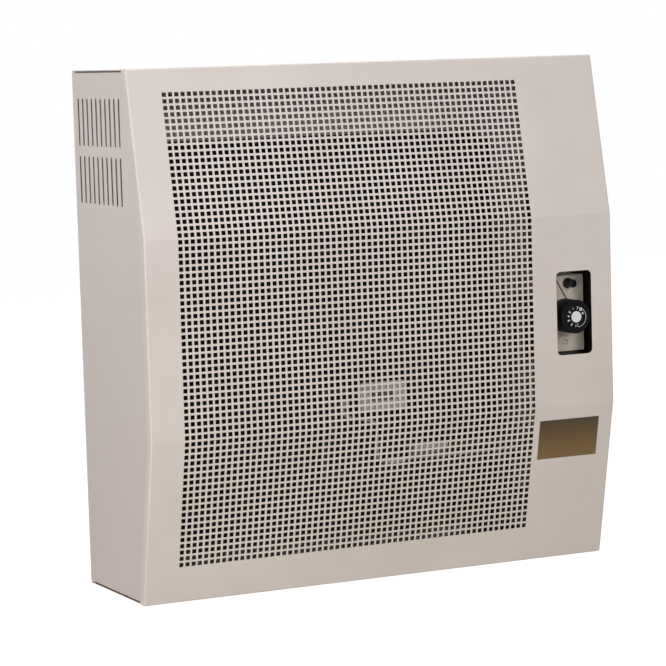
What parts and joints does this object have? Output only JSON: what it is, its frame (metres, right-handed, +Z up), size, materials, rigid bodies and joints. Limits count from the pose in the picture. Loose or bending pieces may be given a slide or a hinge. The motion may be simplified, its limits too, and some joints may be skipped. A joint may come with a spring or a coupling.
{
  "type": "wall mounted gas heater",
  "caption": "Wall mounted gas convector heater: folded sheet cabinet with a perforated front, side vents, a recessed control knob and push igniter, and a rear flue.",
  "frame": {"origin": "centre of the four wall fixing holes, on the wall's face behind the back panel", "axes": "+X to the right seen from the room, +Y into the wall, +Z up"},
  "size_m": [0.636, 0.278, 0.64],
  "materials": {
    "casing_paint": "satin off-white enamel",
    "plate_brass": "dull, brushed, bare",
    "plated_screw": "zinc plated",
    "galvanised_sheet": "galvanised",
    "stove_black": "matt heat-proof black",
    "gasket_fibre": "graphited fibre",
    "cast_alloy": "cast and machined",
    "sight_glass": "clear mica-like pane",
    "burner_steel": "bare",
    "brass_fitting": "machined, dulled by heat",
    "pipe_steel": "drawn, dulled by heat",
    "probe_copper": "drawn copper, brown with age",
    "ceramic": "glazed",
    "lead_rubber": "matt",
    "bracket_paint": "satin beige-grey",
    "knob_plastic": "satin black",
    "cap_plastic": "satin white",
    "igniter_plastic": "black"
  },
  "bodies": {
    "cabinet": {"front_panel": "casing_paint", "front_grille": "casing_paint", "left_side_panel": "casing_paint", "right_side_panel": "casing_paint", "top_panel": "casing_paint", "bottom_panel": "casing_paint", "nameplate": "plate_brass", "cover_screws": "plated_screw", "back_panel": "casing_paint", "hanger_brackets": "galvanised_sheet", "heat_exchanger": "stove_black", "burner_door": "stove_black", "door_gasket": "gasket_fibre", "door_screws": "plated_screw", "sight_frame": "cast_alloy", "sight_glass": "sight_glass", "sight_screws": "plated_screw", "burner_tube": "burner_steel", "burner_supports": "burner_steel", "mixing_tube": "burner_steel", "gas_injector": "brass_fitting", "injector_holder": "cast_alloy", "burner_pipe": "pipe_steel", "pipe_nuts": "brass_fitting", "pilot_bracket": "stove_black", "pilot_burner": "burner_steel", "pilot_tube": "burner_steel", "thermocouple": "probe_copper", "thermocouple_lead": "probe_copper", "electrode_insulator": "ceramic", "spark_electrode": "burner_steel", "ignition_lead": "lead_rubber", "tube_clip": "cast_alloy", "flue_spigot": "cast_alloy", "air_box": "galvanised_sheet", "air_gasket": "gasket_fibre", "air_spigot": "galvanised_sheet", "heat_shield": "stove_black", "control_bracket": "bracket_paint", "bracket_screws": "plated_screw", "gas_valve": "pipe_steel", "inlet_nut": "brass_fitting", "gas_inlet_pipe": "burner_steel", "igniter_body": "igniter_plastic", "igniter_collar": "igniter_plastic", "thermostat_bulb": "probe_copper", "bulb_clips": "galvanised_sheet", "thermostat_capillary": "probe_copper"},
    "valve_rod": {"valve_plunger": "burner_steel"},
    "knob": {"valve_stem": "burner_steel", "control_knob": "knob_plastic", "knob_cap": "cap_plastic"},
    "igniter_push": {"igniter_button": "igniter_plastic"}
  },
  "joints": [
    {"name": "valve_press", "type": "slide", "parent": "cabinet", "child": "valve_rod", "axis": [0, 1, 0], "range_m": [0, 0.005], "stiffness_N_per_m": 1500, "springref_m": -0.003},
    {"name": "knob_turn", "type": "hinge", "parent": "valve_rod", "child": "knob", "pos_m": [0.2655, -0.203, -0.00875], "axis": [0, -1, 0], "range_deg": [0, 320]},
    {"name": "igniter_press", "type": "slide", "parent": "cabinet", "child": "igniter_push", "axis": [0, 1, 0], "range_m": [0, 0.007], "stiffness_N_per_m": 900, "springref_m": -0.002}
  ]
}
